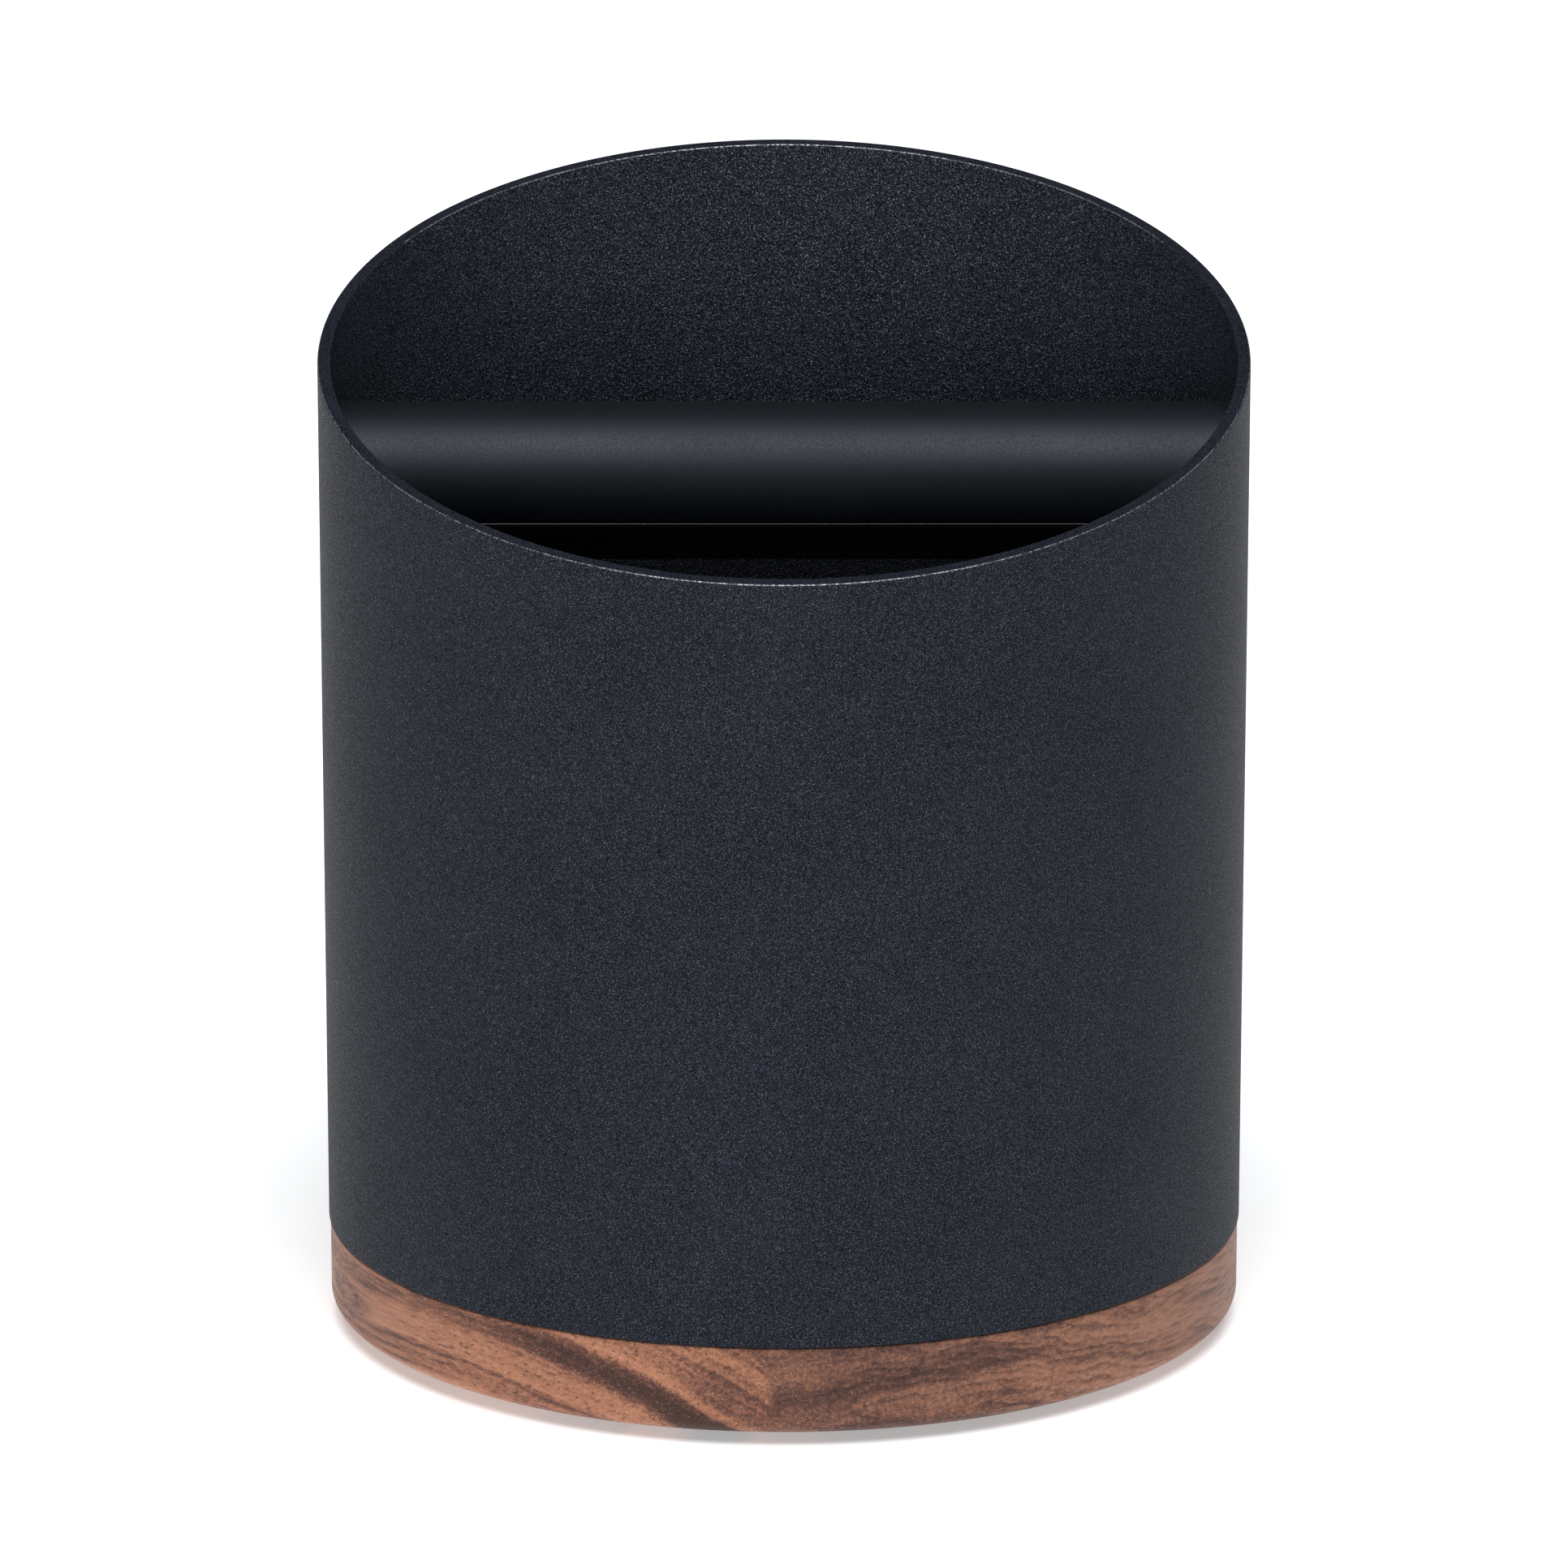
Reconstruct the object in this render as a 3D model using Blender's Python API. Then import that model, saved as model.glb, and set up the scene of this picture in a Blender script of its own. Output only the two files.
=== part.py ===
"""Espresso knock box: a slant-cut, powder-coated tube on a turned walnut base, with a knock
bar that lifts out of two brackets hidden in its own ends.

Metres, +Z up. The low side of the rim is the front and faces -Y, the knock bar lies along X,
and the origin is the centre of the footprint, on the surface that the box stands on.
"""
import math

import bmesh
import bpy

MM = 0.001

# Driving dimensions of the tube and its slanting rim.
TUBE_RADIUS = 70.0 * MM
TUBE_WALL = 2.0 * MM
RIM_MID_HEIGHT = 149.7 * MM
RIM_TILT = math.radians(15.6)
TUBE_EDGE_ROUND = 0.35 * MM

# Heights of the base: the ring stands proud of the walnut, and the tube stands on its shoulder.
FOOT_PROUD = 0.8 * MM
BASE_BAND = 14.35 * MM
BASE_RADIUS = 69.75 * MM
BASE_ROUND_WIDTH = 10.6 * MM
BASE_ROUND_HEIGHT = 3.7 * MM
BASE_ROUND_POWER = 2.5
BASE_CHAMFER = 0.4 * MM
SPIGOT_HEIGHT = 6.35 * MM
SPIGOT_CLEARANCE = 0.4 * MM
FLOOR_THICKNESS = 2.0 * MM

# The anti-slip ring and the groove that it sits in.
RING_OUTER = 54.0 * MM
RING_INNER = 48.0 * MM
RING_HEIGHT = 2.2 * MM
RING_CHAMFER = 0.5 * MM

# The four base fastenings, numbered from the front right.
SCREW_ANGLES = (-45.0, 45.0, 135.0, 225.0)
SCREW_PITCH_RADIUS = 38.0 * MM
SCREW_RADIUS = 2.0 * MM
SCREW_HEAD_RADIUS = 3.8 * MM
SCREW_HEAD_HEIGHT = 2.3 * MM
SCREW_HEAD_DOME = 0.9 * MM
SCREW_SOCKET_RADIUS = 1.45 * MM
SCREW_SOCKET_DEPTH = 1.4 * MM
WASHER_RADIUS = 4.5 * MM
WASHER_THICKNESS = 0.8 * MM
BOSS_RADIUS = 5.0 * MM
BOSS_HEIGHT = 8.0 * MM
THREAD_ENGAGEMENT = 6.0 * MM
FASTENER_CHAMFER = 0.4 * MM
COUNTERBORE_RADIUS = 5.2 * MM
COUNTERBORE_DEPTH = 6.0 * MM

# The knock bar. Below the seam the hard core shows; above it the sleeve covers the core.
BAR_HEIGHT = 129.9 * MM
BAR_KEEL_RADIUS = 11.95 * MM
BAR_SLEEVE_RADIUS = 11.8 * MM
BAR_CORE_RADIUS = 9.0 * MM
BAR_SEAM_ANGLE = math.radians(21.0)
BAR_END_CLEARANCE = 0.6 * MM
BAR_CORE_HALF_LENGTH = 51.7 * MM
END_SCREW_DROP = 1.5 * MM
END_SCREW_HEAD_RADIUS = 3.75 * MM
END_SCREW_HEAD_HEIGHT = 2.0 * MM
END_SCREW_LENGTH = 14.0 * MM

# The bent steel brackets, their boots and the slots that drop over them.
HANGER_WIDTH = 9.0 * MM
HANGER_THICKNESS = 3.0 * MM
HANGER_BEND_INNER = 1.0 * MM
HANGER_REACH = 9.5 * MM
HANGER_LEG_BOTTOM = 100.0 * MM
HANGER_WALL_GAP = 0.5 * MM
BOOT_WALL = 1.0 * MM
SLOT_INNER_END = 55.5 * MM

# Gap between touching pieces, clearance round a thread, how far a cutting shape reaches past
# what it cuts, and the merge distance for meshes.
GAP = 0.3 * MM
THREAD_CLEARANCE = 0.3 * MM
CUT_BEYOND = 5.0 * MM
WELD = 0.001 * MM

ROUND_SEGMENTS = 96
FASTENER_SEGMENTS = 24
BAR_ARC_STEP = math.radians(7.5)

# Heights and radii that follow from the above.
TUBE_INNER = TUBE_RADIUS - TUBE_WALL
BASE_BOTTOM = FOOT_PROUD
BASE_SHOULDER = BASE_BOTTOM + BASE_BAND
TUBE_BOTTOM = BASE_SHOULDER + GAP
SPIGOT_TOP = BASE_SHOULDER + SPIGOT_HEIGHT
FLOOR_BOTTOM = SPIGOT_TOP + GAP
FLOOR_TOP = FLOOR_BOTTOM + FLOOR_THICKNESS
BOSS_TOP = FLOOR_BOTTOM - GAP
BOSS_BOTTOM = BOSS_TOP - BOSS_HEIGHT
COUNTERBORE_TOP = BASE_BOTTOM + COUNTERBORE_DEPTH
WASHER_BOTTOM = COUNTERBORE_TOP - GAP - WASHER_THICKNESS
SCREW_HEAD_TOP = WASHER_BOTTOM - GAP
SCREW_TIP = BOSS_BOTTOM + THREAD_ENGAGEMENT
SCREW_BORE = SCREW_RADIUS + THREAD_CLEARANCE
BAR_END_RADIUS = TUBE_INNER - BAR_END_CLEARANCE
HANGER_OUTER = TUBE_INNER - HANGER_WALL_GAP
HANGER_TAB_TOP = BAR_HEIGHT + HANGER_THICKNESS / 2
HANGER_TAB_END = HANGER_OUTER - HANGER_REACH
SLOT_ROOF = HANGER_TAB_TOP + GAP + BOOT_WALL + GAP
SLOT_HALF_WIDTH = HANGER_WIDTH / 2 + GAP + BOOT_WALL + GAP


# ------------------------------------------------------------------ materials

def make_material(name, colour, roughness, metallic=0.0):
    """One plain Principled material."""
    material = bpy.data.materials.new(name)
    material.use_nodes = True
    shader = material.node_tree.nodes["Principled BSDF"]
    shader.inputs["Base Color"].default_value = (*colour, 1.0)
    shader.inputs["Roughness"].default_value = roughness
    shader.inputs["Metallic"].default_value = metallic
    material.diffuse_color = (*colour, 1.0)
    return material


# ------------------------------------------------------------- shape builders

def arc(centre, radius, start, end, step=BAR_ARC_STEP):
    """Points on an arc in a plane, both ends included."""
    count = max(1, round(abs(end - start) / step))
    angles = [start + (end - start) * i / count for i in range(count + 1)]
    return [(centre[0] + radius * math.cos(a), centre[1] + radius * math.sin(a)) for a in angles]


def spun(profile, segments, closed):
    """Spin (radius, height) points about Z; a closed profile also joins its last point to its first."""
    bm = bmesh.new()
    verts = [bm.verts.new((radius, 0.0, height)) for radius, height in profile]
    edges = [bm.edges.new(pair) for pair in zip(verts, verts[1:])]
    if closed:
        edges.append(bm.edges.new((verts[-1], verts[0])))
    bmesh.ops.spin(bm, geom=verts + edges, cent=(0, 0, 0), axis=(0, 0, 1),
                   angle=2 * math.pi, steps=segments)
    bmesh.ops.remove_doubles(bm, verts=bm.verts, dist=WELD)
    return bm


def turned(profile, segments, capped=False):
    """A turned body: a ring from a closed profile, or one whose open ends get flat discs."""
    bm = spun(profile, segments, not capped)
    if capped:
        bmesh.ops.holes_fill(bm, edges=bm.edges, sides=0)
    bmesh.ops.recalc_face_normals(bm, faces=bm.faces)
    return bm


def along_x(across, up, depth):
    """Place an outline in the YZ plane, to be extruded along X."""
    return (depth, across, up)


def along_y(across, up, depth):
    """Place an outline in the XZ plane, to be extruded along Y."""
    return (across, depth, up)


def extruded(outline, low, high, place):
    """Extrude a closed outline from low to high, in the plane that place gives."""
    bm = bmesh.new()
    face = bm.faces.new([bm.verts.new(place(a, b, low)) for a, b in outline])
    grown = bmesh.ops.extrude_face_region(bm, geom=[face])["geom"]
    moved = [item for item in grown if isinstance(item, bmesh.types.BMVert)]
    bmesh.ops.translate(bm, verts=moved, vec=place(0.0, 0.0, high - low))
    bmesh.ops.recalc_face_normals(bm, faces=bm.faces)
    return bm


def box(low, high):
    """A closed box between two corners."""
    outline = [(low[1], low[2]), (high[1], low[2]), (high[1], high[2]), (low[1], high[2])]
    return extruded(outline, low[0], high[0], along_x)


def screw_body(profile):
    """A screw along Z, head down: a turned shank and head, with a hexagon socket in the head."""
    bm = spun(profile, FASTENER_SEGMENTS, False)
    head = profile[-1][1]
    rim = [edge for edge in bm.edges if edge.is_boundary and edge.verts[0].co.z < head + WELD]
    made = bmesh.ops.create_circle(bm, segments=6, radius=SCREW_SOCKET_RADIUS)["verts"]
    bmesh.ops.translate(bm, verts=made, vec=(0.0, 0.0, head))
    socket = [edge for edge in bm.edges if edge.verts[0] in made and edge.verts[1] in made]
    bmesh.ops.triangle_fill(bm, edges=rim + socket, use_beauty=True)
    walls = bmesh.ops.extrude_edge_only(bm, edges=socket)["geom"]
    deep = [item for item in walls if isinstance(item, bmesh.types.BMVert)]
    bmesh.ops.translate(bm, verts=deep, vec=(0.0, 0.0, SCREW_SOCKET_DEPTH))
    bmesh.ops.holes_fill(bm, edges=bm.edges, sides=0)
    bmesh.ops.recalc_face_normals(bm, faces=bm.faces)
    return bm


# ------------------------------------------------------------ object builders

def to_mesh(name, bm):
    """Turn a bmesh into mesh data, smooth across its round faces."""
    mesh = bpy.data.meshes.new(name)
    bm.to_mesh(mesh)
    bm.free()
    mesh.shade_smooth()
    mesh.set_sharp_from_angle(angle=math.radians(35))
    return mesh


def add_part(name, mesh, material, parent=None, location=(0, 0, 0), rotation=(0, 0, 0)):
    """A named sub-part, with its own material."""
    if not mesh.materials:
        mesh.materials.append(material)
    part = bpy.data.objects.new(name, mesh)
    part.location = location
    part.rotation_euler = rotation
    part.parent = parent
    bpy.context.scene.collection.objects.link(part)
    return part


def add_tool(name, bm, parent=None, location=(0, 0, 0), rotation=(0, 0, 0)):
    """A hidden shape that only cuts or trims a sub-part."""
    tool = bpy.data.objects.new(name, to_mesh(name, bm))
    tool.location = location
    tool.rotation_euler = rotation
    tool.parent = parent
    tool.hide_render = True
    tool.display_type = "WIRE"
    bpy.context.scene.collection.objects.link(tool)
    return tool


def combine(part, operation, tool):
    """Cut (DIFFERENCE) or trim (INTERSECT) a sub-part with a tool."""
    modifier = part.modifiers.new(tool.name, "BOOLEAN")
    modifier.operation = operation
    modifier.solver = "EXACT"
    modifier.object = tool


def round_edges(part, width, segments=2):
    """Round the sharp edges of a sub-part."""
    modifier = part.modifiers.new("edge_round", "BEVEL")
    modifier.width = width
    modifier.segments = segments
    modifier.limit_method = "ANGLE"
    modifier.angle_limit = math.radians(35)


def fastening_places():
    """Number and centre, in plan, of each base fastening."""
    for number, degrees in enumerate(SCREW_ANGLES, start=1):
        angle = math.radians(degrees)
        yield number, SCREW_PITCH_RADIUS * math.cos(angle), SCREW_PITCH_RADIUS * math.sin(angle)


# ---------------------------------------------------------------- the tube

def rim_height(y):
    """Height of the slanting rim plane above a point of the plan."""
    return RIM_MID_HEIGHT + y * math.tan(RIM_TILT)


def make_body_tube(material):
    """Straight tube, cut off by the rim plane, with its edges deburred."""
    profile = [(TUBE_RADIUS, RIM_MID_HEIGHT), (TUBE_RADIUS, TUBE_BOTTOM),
               (TUBE_INNER, TUBE_BOTTOM), (TUBE_INNER, RIM_MID_HEIGHT)]
    bm = turned(profile, ROUND_SEGMENTS)
    for vert in bm.verts:
        if vert.co.z > RIM_MID_HEIGHT - WELD:
            vert.co.z = rim_height(vert.co.y)
    tube = add_part("body_tube", to_mesh("body_tube", bm), material)
    round_edges(tube, TUBE_EDGE_ROUND)


def make_floor_plate(material):
    """Flat disc that closes the tube above the base's spigot."""
    radius = TUBE_INNER - GAP
    disc = turned([(radius, FLOOR_TOP), (radius, FLOOR_BOTTOM)], ROUND_SEGMENTS, True)
    add_part("floor_plate", to_mesh("floor_plate", disc), material)


# ---------------------------------------------------------------- the base

def base_round():
    """Rounded bottom edge of the walnut, as a superellipse from its side to its underside."""
    steps = 7
    power = 2 / BASE_ROUND_POWER
    points = []
    for i in range(steps + 1):
        angle = math.pi / 2 * i / steps
        out = BASE_ROUND_WIDTH * (1 - math.cos(angle) ** power)
        down = BASE_ROUND_HEIGHT * math.sin(angle) ** power
        points.append((BASE_RADIUS - out, BASE_BOTTOM + BASE_ROUND_HEIGHT - down))
    return points


def fastening_hole():
    """Counterbore from below, clearance hole and boss pocket from above, as one stepped tool."""
    pocket = BOSS_RADIUS + GAP
    pocket_floor = BOSS_BOTTOM - GAP
    return [(pocket, SPIGOT_TOP + CUT_BEYOND), (pocket, pocket_floor), (SCREW_BORE, pocket_floor),
            (SCREW_BORE, COUNTERBORE_TOP), (COUNTERBORE_RADIUS, COUNTERBORE_TOP),
            (COUNTERBORE_RADIUS, BASE_BOTTOM - CUT_BEYOND)]


def make_walnut_base(material):
    """Turned walnut: spigot into the tube, shoulder under it, rounded foot and ring groove."""
    spigot = TUBE_INNER - SPIGOT_CLEARANCE
    groove_top = RING_HEIGHT + GAP
    profile = [(spigot - BASE_CHAMFER, SPIGOT_TOP), (spigot, SPIGOT_TOP - BASE_CHAMFER),
               (spigot, BASE_SHOULDER), (BASE_RADIUS - BASE_CHAMFER, BASE_SHOULDER),
               (BASE_RADIUS, BASE_SHOULDER - BASE_CHAMFER)]
    profile += base_round()
    profile += [(RING_OUTER + GAP, BASE_BOTTOM), (RING_OUTER + GAP, groove_top),
                (RING_INNER - GAP, groove_top), (RING_INNER - GAP, BASE_BOTTOM)]
    base = add_part("walnut_base", to_mesh("walnut_base", turned(profile, ROUND_SEGMENTS, True)),
                    material)
    for number, x, y in fastening_places():
        hole = turned(fastening_hole(), FASTENER_SEGMENTS, True)
        combine(base, "DIFFERENCE", add_tool(f"fastening_hole_{number}", hole, location=(x, y, 0)))


def make_antislip_ring(material):
    """Silicone ring in the base's groove, flat where it meets the table."""
    profile = [(RING_OUTER, RING_HEIGHT), (RING_OUTER, RING_CHAMFER), (RING_OUTER - RING_CHAMFER, 0.0),
               (RING_INNER + RING_CHAMFER, 0.0), (RING_INNER, RING_CHAMFER), (RING_INNER, RING_HEIGHT)]
    add_part("antislip_ring", to_mesh("antislip_ring", turned(profile, ROUND_SEGMENTS)), material)


def make_fastenings(steel):
    """Bosses under the floor, and the washers and screws that hold the base on from below."""
    boss = to_mesh("threaded_boss", turned(
        [(BOSS_RADIUS, BOSS_TOP), (BOSS_RADIUS, BOSS_BOTTOM + FASTENER_CHAMFER),
         (BOSS_RADIUS - FASTENER_CHAMFER, BOSS_BOTTOM), (SCREW_BORE, BOSS_BOTTOM),
         (SCREW_BORE, BOSS_TOP)], FASTENER_SEGMENTS))
    washer_top = WASHER_BOTTOM + WASHER_THICKNESS
    washer = to_mesh("base_washer", turned(
        [(WASHER_RADIUS, washer_top), (WASHER_RADIUS, WASHER_BOTTOM),
         (SCREW_BORE, WASHER_BOTTOM), (SCREW_BORE, washer_top)], FASTENER_SEGMENTS))
    head_bottom = SCREW_HEAD_TOP - SCREW_HEAD_HEIGHT
    screw = to_mesh("base_screw", screw_body(
        [(SCREW_RADIUS - FASTENER_CHAMFER, SCREW_TIP), (SCREW_RADIUS, SCREW_TIP - FASTENER_CHAMFER),
         (SCREW_RADIUS, SCREW_HEAD_TOP), (SCREW_HEAD_RADIUS, SCREW_HEAD_TOP),
         (SCREW_HEAD_RADIUS, head_bottom + SCREW_HEAD_DOME),
         (SCREW_HEAD_RADIUS - SCREW_HEAD_DOME, head_bottom)]))
    for number, x, y in fastening_places():
        add_part(f"threaded_boss_{number}", boss, steel, location=(x, y, 0))
        add_part(f"base_washer_{number}", washer, steel, location=(x, y, 0))
        add_part(f"base_screw_{number}", screw, steel, location=(x, y, 0))


# ------------------------------------------------------------- the brackets

def make_hanger(name, side, steel):
    """Bent steel strap: a leg on the inner wall and a tab that reaches into the bar's end."""
    bend_outer = HANGER_BEND_INNER + HANGER_THICKNESS
    bend = (HANGER_OUTER - bend_outer, HANGER_TAB_TOP - bend_outer)
    outline = [(HANGER_OUTER, HANGER_LEG_BOTTOM)]
    outline += arc(bend, bend_outer, 0.0, math.pi / 2, math.radians(15))
    outline += [(HANGER_TAB_END, HANGER_TAB_TOP),
                (HANGER_TAB_END, HANGER_TAB_TOP - HANGER_THICKNESS)]
    outline += arc(bend, HANGER_BEND_INNER, math.pi / 2, 0.0, math.radians(30))
    outline += [(HANGER_OUTER - HANGER_THICKNESS, HANGER_LEG_BOTTOM)]
    outline = [(side * x, z) for x, z in outline]
    bm = extruded(outline, -HANGER_WIDTH / 2, HANGER_WIDTH / 2, along_y)
    add_part(name, to_mesh(name, bm), steel)


def make_boot(name, side, silicone):
    """Silicone cap pushed over the bracket's tab, open towards the wall."""
    mouth = HANGER_OUTER - HANGER_THICKNESS - GAP
    tab_bottom = HANGER_TAB_TOP - HANGER_THICKNESS
    inner_low = (HANGER_TAB_END - GAP, -HANGER_WIDTH / 2 - GAP, tab_bottom - GAP)
    inner_high = (mouth + BOOT_WALL, HANGER_WIDTH / 2 + GAP, HANGER_TAB_TOP + GAP)
    outer_low = tuple(value - BOOT_WALL for value in inner_low)
    outer_high = (mouth, inner_high[1] + BOOT_WALL, inner_high[2] + BOOT_WALL)
    bm = box((side * outer_low[0], *outer_low[1:]), (side * outer_high[0], *outer_high[1:]))
    boot = add_part(name, to_mesh(name, bm), silicone)
    pocket = box((side * inner_low[0], *inner_low[1:]), (side * inner_high[0], *inner_high[1:]))
    combine(boot, "DIFFERENCE", add_tool(f"{name}_pocket", pocket))


# ------------------------------------------------------------- the knock bar

def keel_outline():
    """Section of the hard bar: round on top, and out to the full radius below the seam."""
    back = -BAR_SEAM_ANGLE
    front = math.pi + BAR_SEAM_ANGLE
    return (arc((0, 0), BAR_CORE_RADIUS, back, front)
            + arc((0, 0), BAR_KEEL_RADIUS, front, 2 * math.pi + back))


def sleeve_outline():
    """Section of the sleeve: a C that hugs the top of the hard bar, down to both seams."""
    inner = BAR_CORE_RADIUS + GAP
    relief = GAP / inner
    back = -BAR_SEAM_ANGLE + relief
    front = math.pi + BAR_SEAM_ANGLE - relief
    return arc((0, 0), BAR_SLEEVE_RADIUS, back, front) + arc((0, 0), inner, front, back)


def add_bar_trim(bar):
    """Cylinder that cuts the bar's ends to the curve of the tube's inner wall."""
    reach = BAR_KEEL_RADIUS + CUT_BEYOND
    profile = [(BAR_END_RADIUS, reach), (BAR_END_RADIUS, -reach)]
    return add_tool("bar_end_trim", turned(profile, ROUND_SEGMENTS, True), parent=bar)


def make_bar_core(bar, aluminium):
    """Aluminium extrusion with a screw bore along it."""
    bm = extruded(keel_outline(), -BAR_CORE_HALF_LENGTH, BAR_CORE_HALF_LENGTH, along_x)
    core = add_part("bar_core", to_mesh("bar_core", bm), aluminium, parent=bar)
    reach = BAR_CORE_HALF_LENGTH + CUT_BEYOND
    bore = turned([(SCREW_BORE, reach), (SCREW_BORE, -reach)], FASTENER_SEGMENTS, True)
    combine(core, "DIFFERENCE", add_tool("screw_bore", bore, parent=bar,
                                         location=(0, 0, -END_SCREW_DROP), rotation=(0, math.pi / 2, 0)))


def make_bar_sleeve(bar, trim, silicone):
    """Silicone cover over the whole length of the bar."""
    bm = extruded(sleeve_outline(), -TUBE_RADIUS, TUBE_RADIUS, along_x)
    sleeve = add_part("bar_sleeve", to_mesh("bar_sleeve", bm), silicone, parent=bar)
    combine(sleeve, "INTERSECT", trim)


def end_screw_seat():
    """Countersink and clearance hole for an end screw, head end down at height zero."""
    head = END_SCREW_HEAD_RADIUS + GAP
    return [(SCREW_BORE, SLOT_INNER_END - BAR_CORE_HALF_LENGTH + CUT_BEYOND),
            (SCREW_BORE, END_SCREW_HEAD_HEIGHT + GAP), (head, GAP), (head, -GAP)]


def make_end_block(bar, trim, side, word, nylon):
    """Moulded end of the hard bar, slotted from below to drop over the booted bracket."""
    inner_end = BAR_CORE_HALF_LENGTH + GAP
    bm = extruded(keel_outline(), side * inner_end, side * TUBE_RADIUS, along_x)
    name = f"bar_end_block_{word}"
    block = add_part(name, to_mesh(name, bm), nylon, parent=bar)
    combine(block, "INTERSECT", trim)
    roof = SLOT_ROOF - BAR_HEIGHT
    below = -2 * BAR_KEEL_RADIUS
    slot = box((side * SLOT_INNER_END, -SLOT_HALF_WIDTH, below),
               (side * (TUBE_RADIUS + TUBE_WALL), SLOT_HALF_WIDTH, roof))
    combine(block, "DIFFERENCE", add_tool(f"bracket_slot_{word}", slot, parent=bar))
    seat = add_tool(f"end_screw_seat_{word}", turned(end_screw_seat(), FASTENER_SEGMENTS, True),
                    parent=bar, location=(side * SLOT_INNER_END, 0, -END_SCREW_DROP),
                    rotation=(0, -side * math.pi / 2, 0))
    combine(block, "DIFFERENCE", seat)


def make_end_screws(bar, steel):
    """Countersunk screws along the bar, one through each end block into the core."""
    mesh = to_mesh("bar_end_screw", screw_body(
        [(SCREW_RADIUS - FASTENER_CHAMFER, END_SCREW_LENGTH),
         (SCREW_RADIUS, END_SCREW_LENGTH - FASTENER_CHAMFER),
         (SCREW_RADIUS, END_SCREW_HEAD_HEIGHT), (END_SCREW_HEAD_RADIUS, GAP),
         (END_SCREW_HEAD_RADIUS, 0.0)]))
    for side, word in ((-1, "left"), (1, "right")):
        add_part(f"bar_end_screw_{word}", mesh, steel, parent=bar,
                 location=(side * SLOT_INNER_END, 0, -END_SCREW_DROP),
                 rotation=(0, -side * math.pi / 2, 0))


def make_knock_bar(materials):
    """The lift-out bar, on an empty at the bar's centre."""
    bar = bpy.data.objects.new("knock_bar", None)
    bar.location = (0.0, 0.0, BAR_HEIGHT)
    bpy.context.scene.collection.objects.link(bar)
    trim = add_bar_trim(bar)
    make_bar_core(bar, materials["anodised"])
    make_bar_sleeve(bar, trim, materials["sleeve"])
    for side, word in ((-1, "left"), (1, "right")):
        make_end_block(bar, trim, side, word, materials["nylon"])
    make_end_screws(bar, materials["steel"])


# ------------------------------------------------------------------- build

def main():
    for old in list(bpy.data.objects):
        bpy.data.objects.remove(old, do_unlink=True)
    materials = {
        "coat": make_material("powder_coat", (0.020, 0.022, 0.027), 0.55),
        "walnut": make_material("walnut", (0.26, 0.13, 0.075), 0.5),
        "silicone": make_material("black_silicone", (0.02, 0.02, 0.02), 0.7),
        "sleeve": make_material("bar_silicone", (0.03, 0.032, 0.038), 0.45),
        "anodised": make_material("black_anodised", (0.01, 0.01, 0.012), 0.35, 0.8),
        "nylon": make_material("black_nylon", (0.015, 0.015, 0.017), 0.5),
        "steel": make_material("stainless_steel", (0.6, 0.6, 0.6), 0.3, 1.0),
        "bracket": make_material("coated_bracket", (0.02, 0.022, 0.027), 0.55),
    }
    make_body_tube(materials["coat"])
    make_floor_plate(materials["coat"])
    make_walnut_base(materials["walnut"])
    make_antislip_ring(materials["silicone"])
    make_fastenings(materials["steel"])
    for side, word in ((-1, "left"), (1, "right")):
        make_hanger(f"bar_hanger_{word}", side, materials["bracket"])
        make_boot(f"hanger_boot_{word}", side, materials["silicone"])
    make_knock_bar(materials)
    bpy.context.view_layer.update()


main()
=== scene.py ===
"""Looks of the espresso knock box: a powder-coated tube with a slanting rim on a walnut base,
and a silicone-covered knock bar that lifts out. Metres, +Z up, front to -Y.
"""
import math

import bmesh
import bpy
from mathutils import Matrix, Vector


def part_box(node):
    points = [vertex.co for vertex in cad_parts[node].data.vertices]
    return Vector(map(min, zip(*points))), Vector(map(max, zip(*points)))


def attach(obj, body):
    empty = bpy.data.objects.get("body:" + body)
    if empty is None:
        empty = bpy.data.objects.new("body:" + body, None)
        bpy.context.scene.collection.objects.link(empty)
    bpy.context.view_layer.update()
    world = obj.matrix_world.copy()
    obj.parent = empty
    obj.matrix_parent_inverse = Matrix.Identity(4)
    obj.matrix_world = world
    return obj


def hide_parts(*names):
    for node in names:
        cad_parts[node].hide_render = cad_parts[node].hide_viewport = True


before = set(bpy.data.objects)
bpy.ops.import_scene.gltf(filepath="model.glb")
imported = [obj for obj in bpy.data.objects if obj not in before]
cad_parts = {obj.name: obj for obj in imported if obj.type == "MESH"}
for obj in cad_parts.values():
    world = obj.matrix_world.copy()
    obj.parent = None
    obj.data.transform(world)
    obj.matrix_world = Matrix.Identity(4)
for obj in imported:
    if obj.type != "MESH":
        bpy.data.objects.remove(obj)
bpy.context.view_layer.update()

MM = 0.001

# Sizes read from the frame.
TUBE_LOW, TUBE_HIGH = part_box("body_tube")
FLOOR_LOW, FLOOR_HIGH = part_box("floor_plate")
BASE_LOW, BASE_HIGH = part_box("walnut_base")
RING_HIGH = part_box("antislip_ring")[1]
CORE_LOW, CORE_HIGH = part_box("bar_core")
HANGER_LOW, HANGER_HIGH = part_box("bar_hanger_right")
BOOT_LOW, BOOT_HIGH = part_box("hanger_boot_right")
BLOCK_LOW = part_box("bar_end_block_right")[0]
BASE_SCREW_LOW, BASE_SCREW_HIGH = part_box("base_screw_1")
WASHER_LOW, WASHER_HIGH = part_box("base_washer_1")
END_SCREW_LOW, END_SCREW_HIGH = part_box("bar_end_screw_right")

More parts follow.
